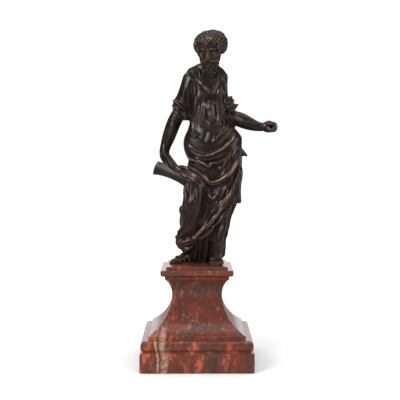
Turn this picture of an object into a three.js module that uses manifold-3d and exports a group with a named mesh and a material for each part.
// A small cast bronze saint on a square plinth of red marble, in millimetres, +Z up.
// The origin is the centre of the plinth's underside. The saint looks out along -Y.
// The saint's own sizes are measured from the plinth's top and from its centre line.
import * as THREE from "three";
import { mergeVertices } from "three/addons/utils/BufferGeometryUtils.js";
import Module from "manifold-3d";

const wasm = await Module();
wasm.setup();

// Driving sizes of the plinth: half widths, and the heights where the mouldings change
const PLINTH_HEIGHT = 110;
const BLOCK_HALF = 61;
const BLOCK_TOP = 21.2;
const LOWER_MOULDING_HALF = 60;
const LOWER_MOULDING_TOP = 33.8;
const BODY_FOOT_HALF = 52;
const BODY_FOOT_TOP = 38;
const NECK_HALF = 27.2;
const NECK_HEIGHT = 79.2;
const BODY_HEAD_HALF = 35;
const BODY_HEAD_BOTTOM = 96.6;
const UPPER_MOULDING_HALF = 39.5;
const UPPER_MOULDING_BOTTOM = 99.8;
const TOP_SLAB_HALF = 33.4;
const TOP_SLAB_HEIGHT = 3.4;

// Driving sizes of the saint
const HEAD_CENTRE = [14.8, -6, 239.6];
const HEAD_NOD = 28;
const HEAD_TURN = -15;
const SKULL = [15.6, 16, 14.2];
const HAIR_THICKNESS = 1.2;
const CURL_HEIGHT = 2.6;
const CURL_GRID = [20, 12];
const FOOT_HALF_WIDTH = 7;
const BOOK_SIZE = [39, 6, 14.5];
const COVER_THICKNESS = 1.5;
const BORE_RADIUS = 1.3;

const vector = ([x, y, z]) => new THREE.Vector3(x, y, z);
const radians = THREE.MathUtils.degToRad;
const { lerp, clamp } = THREE.MathUtils;
const smooth = (t) => THREE.MathUtils.smoothstep(t, 0, 1);
const steps = (count) => Array.from({ length: count }, (_, i) => i);
const through = (points) => new THREE.CatmullRomCurve3(points.map(vector));

// Merges a closed geometry's corners and makes a solid of it.
function solidOf(geometry) {
  geometry.deleteAttribute("normal");
  geometry.deleteAttribute("uv");
  const merged = mergeVertices(geometry, 1e-3);
  const vertProperties = merged.attributes.position.array;
  const faces = merged.index.array;
  const triVerts = [];
  for (let i = 0; i < faces.length; i += 3) {
    const [a, b, c] = faces.slice(i, i + 3);
    if (a !== b && b !== c && a !== c) triVerts.push(a, b, c);
  }
  const mesh = new wasm.Mesh({ numProp: 3, vertProperties, triVerts: new Uint32Array(triVerts) });
  return new wasm.Manifold(mesh);
}

const joined = (solids) => solids.reduce((sum, solid) => sum.add(solid));

function geometryOf(solid) {
  const { vertProperties, triVerts } = solid.getMesh();
  return new THREE.BufferGeometry()
    .setAttribute("position", new THREE.BufferAttribute(vertProperties, 3))
    .setIndex(new THREE.BufferAttribute(triVerts, 1));
}

// Moves every corner of a geometry to where the rule sends it.
function moved(geometry, rule) {
  const positions = geometry.getAttribute("position");
  const p = new THREE.Vector3();
  for (let i = 0; i < positions.count; i++) {
    const { x, y, z } = rule(p.fromBufferAttribute(positions, i));
    positions.setXYZ(i, x, y, z);
  }
  return geometry;
}

// A limb along a smooth line of stations [x, y, z, half width, half depth]: a bent capsule.
// The half width is measured square to the direction named front.
function limb(stations, { sides = 8, rows = 5, front = [0, -1, 0], ends = 0.8, caps = 1 } = {}) {
  const line = through(stations);
  const girth = through(stations.map((s) => [s[3], s[4] ?? s[3], 0]));
  const rule = (p) => {
    const t = clamp(p.y + 0.5, 0, 1);
    const along = line.getTangent(t);
    const across = along.clone().cross(vector(front)).normalize();
    const outward = across.clone().cross(along).normalize();
    const size = girth.getPoint(t);
    const beyond = (p.y - clamp(p.y, -0.5, 0.5)) * Math.min(size.x, size.y) * ends;
    return line
      .getPoint(t)
      .addScaledVector(across, p.x * size.x)
      .addScaledVector(outward, p.z * size.y)
      .addScaledVector(along, beyond);
  };
  return solidOf(moved(new THREE.CapsuleGeometry(1, 1, caps, sides, rows), rule));
}

// An egg shape with three half axes, turned about X and then Z, in degrees.
function egg(centre, halfAxes, { sides = 8, rows = 5, nod = 0, turn = 0 } = {}) {
  const geometry = new THREE.SphereGeometry(1, sides, rows)
    .scale(...halfAxes)
    .rotateX(radians(nod))
    .rotateZ(radians(turn))
    .translate(...centre);
  return solidOf(geometry);
}

// A draped trunk through stations [height, left, right, front, back]: a cylinder whose
// circle is stretched to a rounded square that fits between the four sides.
function trunk(stations, { sides = 20, rows = 15, squareness = 2.4 } = {}) {
  const widths = through(stations.map(([z, left, right]) => [left, right, z]));
  const depths = through(stations.map(([z, , , front, back]) => [front, back, z]));
  const reach = (v) => Math.sign(v) * Math.abs(v) ** (2 / squareness);
  const rule = (p) => {
    const t = clamp(p.y + 0.5, 0, 1);
    const { x: left, y: right, z } = widths.getPoint(t);
    const { x: front, y: back } = depths.getPoint(t);
    const x = lerp(left, right, 0.5 + 0.5 * reach(p.x));
    const y = lerp(front, back, 0.5 - 0.5 * reach(p.z));
    return new THREE.Vector3(x, y, z);
  };
  return solidOf(moved(new THREE.CylinderGeometry(1, 1, 1, sides, rows), rule));
}

// Returns a finder of the place where a level line from the front or the back meets a body.
// Beside the body it moves towards the middle until the line meets something.
function surfaceOf(body) {
  const mesh = new THREE.Mesh(geometryOf(body), new THREE.MeshBasicMaterial());
  const ray = new THREE.Raycaster();
  const middle = 15;
  const tries = 40;
  return (x, z, side) => {
    for (const i of steps(tries)) {
      const from = new THREE.Vector3(lerp(x, middle, i / tries), side * 200, z);
      ray.set(from, new THREE.Vector3(0, -side, 0));
      const [hit] = ray.intersectObject(mesh);
      if (hit) return { point: new THREE.Vector3(x, hit.point.y, z), normal: hit.face.normal.clone() };
    }
    return { point: new THREE.Vector3(x, 0, z), normal: new THREE.Vector3(0, side, 0) };
  };
}

// A fold of cloth that lies on the body along a line [x, z] seen from the front (side -1)
// or the back (side 1). It rises out of the body and sinks back at the ends that fade.
function fold(find, { line, width = 7, height = 4, side = -1, fade = [1, 1], lean = 0, rows = 7 }) {
  const seen = through(line.map(([x, z]) => [x, 0, z]));
  const found = steps(rows + 1).map((i) => {
    const { x, z } = seen.getPointAt(i / rows);
    return find(x, z, side);
  });
  const spine = new THREE.CatmullRomCurve3(found.map(({ point }) => point));
  const normals = new THREE.CatmullRomCurve3(found.map(({ normal }) => normal));
  // Cloth bridges a hollow instead of following it
  for (const i of steps(3 * (rows - 1))) {
    const [before, here, after] = found.slice(i % (rows - 1)).map(({ point }) => point);
    here.y = side * Math.max(side * here.y, (side * (before.y + after.y)) / 2);
  }
  const rule = (p) => {
    const t = clamp(p.y + 0.5, 0, 1);
    const along = spine.getTangent(t);
    const across = normals.getPoint(t).cross(along).normalize();
    const outward = along.clone().cross(across).normalize();
    const full = Math.min(fade[0] ? smooth(t / 0.3) : 1, fade[1] ? smooth((1 - t) / 0.3) : 1);
    const size = lerp(0.3, 1, full);
    const sunk = -0.25 * height * (2 - size);
    return spine
      .getPoint(t)
      .addScaledVector(along, p.y - clamp(p.y, -0.5, 0.5))
      .addScaledVector(across, (p.z + lean * p.x) * (width / 2) * size)
      .addScaledVector(outward, sunk + p.x * height * size);
  };
  return solidOf(moved(new THREE.CapsuleGeometry(1, 1, 1, 4, rows), rule));
}

// A family of folds that pass gradually from a first line to a last one.
function fan(count, first, last, style = {}) {
  const [from, to] = [first, last].map((line) => through(line.map(([x, z]) => [x, 0, z])));
  const knots = 6;
  return steps(count).map((i) => {
    const share = count > 1 ? i / (count - 1) : 0;
    const line = steps(knots + 1).map((j) => {
      const { x, z } = from.getPoint(j / knots).lerp(to.getPoint(j / knots), share);
      return [x, z];
    });
    return { line, ...style };
  });
}

// The broad envelope of body and cloth: [height, left, right, front, back]
const ENVELOPE = [
  [-3, -4, 28, 3, 21],
  [8, -9, 29, 0, 21],
  [18, -18, 30, -4, 22],
  [28, -21.5, 31, -10, 22],
  [40, -19, 34, -15, 22],
  [52, -18, 36, -18, 22],
  [66, -14.5, 42, -19, 22.5],
  [82, -14.5, 46, -20, 23],
  [98, -14, 48, -21, 23],
  [112, -9, 49.5, -21, 23],
  [123, -14, 50, -21, 22.5],
  [133, -16, 50.5, -20.5, 21.5],
  [141, -14.5, 50, -20, 20],
  [150, -10.5, 43, -19, 17.5],
  [160, -8.5, 34.5, -18, 16],
  [178, -9, 31.5, -17.5, 17],
  [190, -10, 31, -17, 18],
  [203, -9, 30, -10, 17.5],
  [212, -3, 27, -4, 15],
  [219, 3, 23, -1, 11],
];

function saintBody() {
  const rightThigh = [[8, -1, 136, 14], [4, -7, 112, 14], [-1, -15, 90, 13], [-4, -21, 72, 11.5]];
  const rightShin = [[-8.5, -14, 48, 11], [-10.5, -2, 26, 7.5], [-5, 5, 7, 5.4]];
  const fallingCorner = [[44, 3, 118, 8], [46.5, 6, 96, 4], [46, 8, 80, 3.5], [46.5, 8, 67, 2.4]];
  return joined([
    trunk(ENVELOPE),
    // Right thigh, bent knee and shin pressing against the cloth
    limb([...rightThigh, ...rightShin], { rows: 8 }),
    // Left hip and standing leg
    limb([[34, -3, 124, 15], [32, -9, 96, 13], [28, -11, 62, 10], [23, -5, 30, 7.5], [22, 4, 7, 5.6]]),
    // Shoulders and neck
    limb([[-7.5, 3, 204, 9], [5, 4, 210, 9], [20, 5, 211, 9], [26.5, 5, 206, 8.3]], { front: [0, 0, 1] }),
    limb([[12, 4, 207, 13], [13.5, 1, 218, 11.5], [14.5, -2, 230, 11]], { rows: 3 }),
    // Ends of the mantle that stand clear of the left hip
    limb([[42, 4, 130, 5], [50, 5, 123.5, 3.4], [56.6, 5, 119, 0.8]], { sides: 6, rows: 3, ends: 0.3 }),
    limb(fallingCorner, { sides: 6, ends: 0.3 }),
  ]);
}

function rightArm() {
  // The sleeve, pushed up in two rolls above the bare elbow
  const sleeveTop = [[-7, 3, 204, 9], [-9.5, 4, 194, 9.6], [-12.5, 5, 184, 10]];
  const sleeveRoll = [[-15, 6, 177, 12], [-16.5, 6.5, 172.5, 9.8]];
  const sleeveHem = [[-18.5, 7, 167, 11.6], [-20.5, 8, 162, 9]];
  const upperArm = [[-19, 7, 168, 8.2], [-25.5, 9, 157, 8.1], [-31.6, 11, 141, 7.7], [-35.4, 12, 131, 6.6]];
  const forearm = [[-37.3, 11, 122.5, 5.6], [-33, 3, 116, 5.9], [-26, -8, 109, 5], [-20.5, -14, 104, 3.9]];
  return joined([
    limb([...sleeveTop, ...sleeveRoll, ...sleeveHem], { rows: 11 }),
    limb([...upperArm, [-37.5, 11, 123, 5.5]]),
    limb(forearm, { rows: 4 }),
    // The sleeve's slack hanging between arm and body
    egg([-12.5, 2, 164], [5.5, 8, 6]),
  ]);
}

// The flat right hand: closed fingers over the book and the thigh, the thumb lying above them.
function rightHand() {
  const digit = { sides: 6, rows: 3 };
  const palm = [
    [-22.6, -12, 105, 3.6, 3.2],
    [-18.5, -15, 103.4, 4.4, 2.9],
    [-13.5, -18.3, 101.2, 5.4, 2.6],
    [-9.2, -20.8, 99, 5.2, 2.2],
  ];
  const fingers = steps(4).map((i) => {
    const [x, y, z] = [-11 - 1.4 * i, -21 + 0.5 * i, 103.6 - 2.5 * i];
    const [reach, drop] = [15 - 1.3 * i, 9.4 - 0.3 * i];
    return limb([[x, y, z, 2.2], [x + 6.6, y - 3.4, z - 3, 2], [x + reach, y - 6.6, z - drop, 1.5]], digit);
  });
  return joined([
    limb(palm, { front: [0.55, -0.75, 0.35] }),
    // The closed fingers' shared underside
    egg([-7, -19.5, 98], [10, 4.4, 6.5], { nod: -20 }),
    ...fingers,
    limb([[-20, -13.5, 107.2, 2.4], [-13, -18.5, 106.9, 2.1], [-6.8, -21.4, 104.2, 1.6]], digit),
  ]);
}

// The book under the right hand: two soft covers on a narrower block of leaves.
function book() {
  const [length, thickness, width] = BOOK_SIZE;
  const cover = (thickness - COVER_THICKNESS) / 2;
  const boards = [
    new THREE.BoxGeometry(length, COVER_THICKNESS, width, 3).translate(0, -cover, 0),
    new THREE.BoxGeometry(length, COVER_THICKNESS, width, 3).translate(0, cover, 0),
    new THREE.BoxGeometry(length - 2, thickness - 1, width - 2, 3),
  ];
  const droop = ({ x, y, z }) => new THREE.Vector3(x, y, z - 0.006 * x * x);
  return joined(
    boards.map((board) =>
      solidOf(moved(board, droop).rotateZ(radians(-16)).rotateY(radians(21)).translate(-27, -6, 101.5)),
    ),
  );
}

function leftArm() {
  const forearm = [[44, 1, 161, 8.2], [53, -2, 157.7, 7.2], [64, -5, 153.2, 5.3], [71, -7, 150.8, 4.7]];
  const knotEnd = [[36, -5, 172.5, 4], [42, -5, 174.5, 2.8], [46.6, -5, 177.3, 0.8]];
  return joined([
    limb([[26.8, 5, 204, 7.8], [28, 5, 186, 7], [33, 4, 166, 8]]),
    limb([[35, 3, 163, 8.2], ...forearm], { rows: 6 }),
    // The sleeve gathered in a knot above the elbow, one end standing out
    egg([34, -4, 179], [6.4, 8, 7]),
    egg([37.5, -5, 173.5], [7, 7.5, 5.5]),
    limb(knotEnd, { sides: 6, rows: 3, ends: 0.3 }),
  ]);
}

// The closed left hand: four fingers bent squarely one behind another about an empty bore.
function leftFist() {
  const [x, y, z] = [81, -8, 150.2];
  const bend = [[-2, 4.3], [2.6, 4.2], [4.6, 1.2], [4.2, -2.6], [0.4, -4.2], [-3, -3]];
  const fingers = steps(4).map((i) => {
    const aside = y + 3.75 * (i - 1.5);
    const stations = bend.map(([across, up], j) => [x + across, aside, z + up, 2.4 - 0.1 * j]);
    return limb(stations, { sides: 6, rows: 6 });
  });
  const backOfHand = [[73, -8, 151, 4, 5.2], [77, -8, 151.2, 5.6, 6.8], [80, -8, 152, 4.6, 7]];
  const thumb = [[73.4, -11.6, 150, 3], [78, -14.8, 148.8, 2.6], [84.4, -15, 146.9, 1.9]];
  const bore = new THREE.CylinderGeometry(BORE_RADIUS, BORE_RADIUS, 60, 8).translate(x, y, z);
  return joined([
    limb(backOfHand, { front: [0, 0, 1], rows: 3 }),
    ...fingers,
    // The closed palm about the bore
    egg([x, y, z], [4.2, 6.8, 4]),
    limb(thumb, { sides: 6, rows: 3 }),
  ]).subtract(solidOf(bore));
}

// A foot flat on the ground from heel to toes.
function foot(heel, toe) {
  const [from, to] = [vector(heel), vector(toe)];
  const along = to.clone().sub(from).normalize();
  const across = new THREE.Vector3(-along.y, along.x, 0);
  const turn = THREE.MathUtils.radToDeg(Math.atan2(-along.x, along.y));
  const station = (share, height, half, thick) => {
    const { x, y } = from.clone().lerp(to, share);
    return [x, y, height, half, thick];
  };
  const toes = steps(5).map((i) => {
    const { x, y } = to
      .clone()
      .addScaledVector(across, (i - 2) * FOOT_HALF_WIDTH * 0.4)
      .addScaledVector(along, -2 - 0.7 * Math.abs(i - 1.5));
    return egg([x, y, 2.6], [1.6, 4, 2.2], { sides: 5, rows: 3, turn });
  });
  const half = FOOT_HALF_WIDTH;
  const stations = [
    station(0.03, 4.5, 4.4, 4.8),
    station(0.35, 8, 5.4, 7.4),
    station(0.65, 5.8, half * 0.85, 5.4),
    station(0.86, 3, half, 3),
  ];
  return joined([limb(stations, { front: [0, 0, 1], rows: 4 }), ...toes]);
}

const feet = () => joined([foot([2, 12, 0], [-29, -5, 0]), foot([22, 10, 0], [21.5, -24, 0])]);

// The head is shaped looking along -Y, then nodded and turned into place.
function head() {
  const placed = (geometry) =>
    solidOf(geometry.rotateX(radians(HEAD_NOD)).rotateZ(radians(HEAD_TURN)).translate(...HEAD_CENTRE));
  const ball = (centre, halfAxes, sides = 8, rows = 4) =>
    placed(new THREE.SphereGeometry(1, sides, rows).scale(...halfAxes).translate(...centre));

  // Short curly hair: a cap over the skull, raised in staggered curls and bare at the brow.
  const [meridians, rings] = CURL_GRID;
  const hair = moved(new THREE.SphereGeometry(1, meridians, rings).rotateX(Math.PI / 2), (p) => {
    const [around, down] = [Math.atan2(p.y, p.x), Math.acos(clamp(p.z, -1, 1))];
    const curl = 0.5 + 0.5 * Math.cos((around * meridians) / 2) * Math.cos(down * rings);
    const inFront = smooth((-p.y - 0.45) / 0.2) * smooth((0.82 - p.z) / 0.15);
    const bare = inFront * smooth((0.8 - Math.abs(p.x)) / 0.15);
    const thickness = lerp(HAIR_THICKNESS + CURL_HEIGHT * curl, -1.5, bare);
    return new THREE.Vector3(...SKULL).addScalar(thickness).multiply(p);
  }).translate(0, 1.5, 1.5);

  const beard = steps(3).map((i) => {
    const aside = 4.6 * (i - 1);
    const lock = new THREE.SphereGeometry(1, 6, 4).scale(3.6, 4, 9).rotateX(radians(-14));
    return placed(lock.translate(aside, -11.5 + 0.3 * Math.abs(aside), -16.5 + 0.5 * Math.abs(aside)));
  });
  return joined([
    placed(hair),
    ball([0, -3.5, -2], [11.4, 12.4, 14.5], 10, 7),
    ball([0, -13.2, 3], [8.4, 2.6, 2.2]),
    ball([0, -16.4, -3.4], [2, 2.6, 4.4], 6, 4),
    ball([0, -13.4, -9.2], [6.6, 3.2, 2.2]),
    ...beard,
  ]);
}

// The cloth seen from the front
function frontFolds() {
  const waistTop = [[42, 154], [32, 140], [14, 129.5], [-2, 134], [-11.5, 147]];
  const waistLow = [[46, 142], [37, 135], [24, 125.5], [9, 120], [-10, 127]];
  const hip = [[44, 133], [33, 120], [22, 111], [6, 111], [-12, 121]];
  const swag = [[50, 127], [42, 114], [36, 101], [24, 91.5], [11, 95], [0, 104], [-14, 108]];
  const hem = [[47, 98], [38, 85], [29.5, 67], [21, 54.5], [12.5, 42], [1, 31], [-11, 24], [-23, 25.5]];
  const underHem = [[43, 90], [33, 71], [23, 54], [13, 40], [0, 27]];
  const lowestHem = [[44, 84], [36, 68], [27, 52], [17, 37], [6, 25], [-4, 19]];
  const tubeNear = [[47, 102], [40, 76], [33, 52], [24, 24]];
  const tubeFar = [[46, 84], [40, 62], [34.5, 42], [30, 20]];
  const chestLeft = [[29, 208], [27, 184], [23, 142]];
  const chestMiddle = [[15, 192], [17, 176], [13, 140]];
  return [
    ...fan(3, waistTop, waistLow, { width: 6.5, height: 4.2 }),
    { line: hip, width: 6.5, height: 4.5, rows: 8 },
    { line: swag, width: 7, height: 5.5, rows: 11, lean: 0.3 },
    // The mantle's edge drawn under the right hand, and its pointed corner
    { line: [[-17, 99], [-7, 97], [3, 92], [10, 84], [18.5, 73]], width: 6, height: 3.5 },
    { line: [[34, 87], [26, 80], [18.5, 73]], width: 4, height: 3, rows: 4 },
    // The long hem from the left hip to the right ankle
    { line: hem, width: 7.5, height: 6.5, rows: 12, lean: -0.3 },
    ...fan(2, underHem, lowestHem, { width: 5, height: 4.5, rows: 7 }),
    // Tubes of cloth over the standing leg
    ...fan(3, tubeNear, tubeFar, { width: 5, height: 3.8, fade: [1, 0], rows: 5 }),
    { line: [[26, 48], [18, 30], [13, 8]], width: 5, height: 4, fade: [1, 0], rows: 4 },
    // Cloth drawn tight over the right knee and shin, gathered at the ankle
    { line: [[10, 84], [9.5, 64], [0, 40]], width: 4.5, height: 2.8, rows: 5 },
    { line: [[-14, 62], [-13, 44], [-17, 27]], width: 5, height: 3, rows: 4 },
    { line: [[-23, 25], [-21, 33], [-16, 41]], width: 7, height: 4.5, rows: 4 },
    { line: [[-21, 17], [-14, 16], [-5, 19], [3, 20]], width: 6, height: 3.6, rows: 5 },
    { line: [[-18, 66], [-18, 61], [-14, 54]], width: 6, height: 4, rows: 3 },
    // The thin tunic: its neckline, and folds from the shoulders to the belt
    { line: [[1, 217], [8, 202], [14.5, 196], [22, 204], [27, 214]], width: 3.4, height: 2.4, rows: 8 },
    ...fan(2, chestLeft, chestMiddle, { width: 4.4, height: 2.5, rows: 6 }),
  ];
}

// The cloth seen from behind: the mantle wound about the hips, the tunic hanging to the ground
function backFolds() {
  const mantleTop = [[-12, 146], [3, 136], [20, 133], [36, 138], [47, 146]];
  const mantleEdge = [[-12, 112], [2, 99], [20, 93], [38, 98], [50, 108]];
  const skirtNear = [[-11, 100], [-12, 66], [-5, 3]];
  const skirtFar = [[42, 96], [36, 60], [26, 3]];
  return [
    ...fan(3, mantleTop, mantleEdge, { width: 9, height: 5, rows: 6 }),
    ...fan(4, skirtNear, skirtFar, { width: 8, height: 4.6, fade: [1, 0], rows: 4 }),
  ].map((one) => ({ ...one, side: 1 }));
}

function saint() {
  const body = saintBody();
  const find = surfaceOf(body);
  const folds = [...frontFolds(), ...backFolds()].map((one) => fold(find, one));
  const limbs = [rightArm(), rightHand(), book(), leftArm(), leftFist(), feet(), head()];
  const underground = new THREE.BoxGeometry(300, 300, 60).translate(0, 0, -30);
  return joined([body, ...folds, ...limbs]).subtract(solidOf(underground));
}

// Points of a circular arc in the plinth's profile, between two angles in degrees.
function arc(x, z, radius, from, to, count) {
  return steps(count + 1).map((i) => {
    const a = radians(lerp(from, to, i / count));
    return new THREE.Vector2(x + radius * Math.cos(a), z + radius * Math.sin(a));
  });
}

// The concave body: an arc from the upright neck out to a half width at a height.
function hollow(half, height, count) {
  const [out, up] = [half - NECK_HALF, Math.abs(height - NECK_HEIGHT)];
  const swing = 2 * Math.atan(out / up);
  const radius = up / Math.sin(swing);
  const degrees = THREE.MathUtils.radToDeg(swing) * Math.sign(height - NECK_HEIGHT);
  return arc(NECK_HALF + radius, NECK_HEIGHT, radius, 180, 180 - degrees, count);
}

function plinth() {
  const corner = (half, height) => new THREE.Vector2(half, height);
  const slabFoot = PLINTH_HEIGHT - TOP_SLAB_HEIGHT;
  const profile = [
    corner(0, 0),
    corner(BLOCK_HALF - 1.4, 0),
    corner(BLOCK_HALF, 1.8),
    corner(BLOCK_HALF, BLOCK_TOP - 0.8),
    corner(BLOCK_HALF - 0.8, BLOCK_TOP),
    corner(LOWER_MOULDING_HALF - 2.2, BLOCK_TOP),
    corner(LOWER_MOULDING_HALF - 2.2, BLOCK_TOP + 2.4),
    corner(LOWER_MOULDING_HALF - 0.5, BLOCK_TOP + 3.2),
    corner(LOWER_MOULDING_HALF, BLOCK_TOP + 4.8),
    ...arc(LOWER_MOULDING_HALF - 4.6, LOWER_MOULDING_TOP - 4.6, 4.6, 0, 80, 4),
    corner(BODY_FOOT_HALF, LOWER_MOULDING_TOP),
    corner(BODY_FOOT_HALF, BODY_FOOT_TOP - 0.4),
    ...hollow(BODY_FOOT_HALF - 0.7, BODY_FOOT_TOP, 10).reverse(),
    ...hollow(BODY_HEAD_HALF - 0.5, BODY_HEAD_BOTTOM - 0.2, 6).slice(1),
    corner(BODY_HEAD_HALF, BODY_HEAD_BOTTOM),
    corner(BODY_HEAD_HALF, UPPER_MOULDING_BOTTOM - 0.6),
    corner(BODY_HEAD_HALF - 0.8, UPPER_MOULDING_BOTTOM),
    ...arc(UPPER_MOULDING_HALF - 3, UPPER_MOULDING_BOTTOM + 3, 3, -70, 0, 3),
    corner(UPPER_MOULDING_HALF, slabFoot - 1),
    corner(UPPER_MOULDING_HALF - 0.9, slabFoot),
    corner(TOP_SLAB_HALF, slabFoot),
    corner(TOP_SLAB_HALF, PLINTH_HEIGHT - 0.5),
    corner(TOP_SLAB_HALF - 0.5, PLINTH_HEIGHT),
    corner(0, PLINTH_HEIGHT),
  ];
  // Four flat sides with mitred corners: a lathe of four steps whose radius is the half diagonal
  const points = profile.map(({ x, y }) => new THREE.Vector2(x * Math.SQRT2, y));
  return solidOf(new THREE.LatheGeometry(points, 4, Math.PI / 4).rotateX(Math.PI / 2));
}

function named(name, solid, look) {
  const mesh = new THREE.Mesh(geometryOf(solid), new THREE.MeshStandardMaterial(look));
  mesh.name = name;
  return mesh;
}

const group = new THREE.Group();
group.add(named("marble_plinth", plinth(), { color: 0x7a4136, roughness: 0.25, metalness: 0 }));

const figure = named("bronze_saint", saint(), { color: 0x33241c, roughness: 0.35, metalness: 0.6 });
figure.position.z = PLINTH_HEIGHT;
group.add(figure);

export default group;
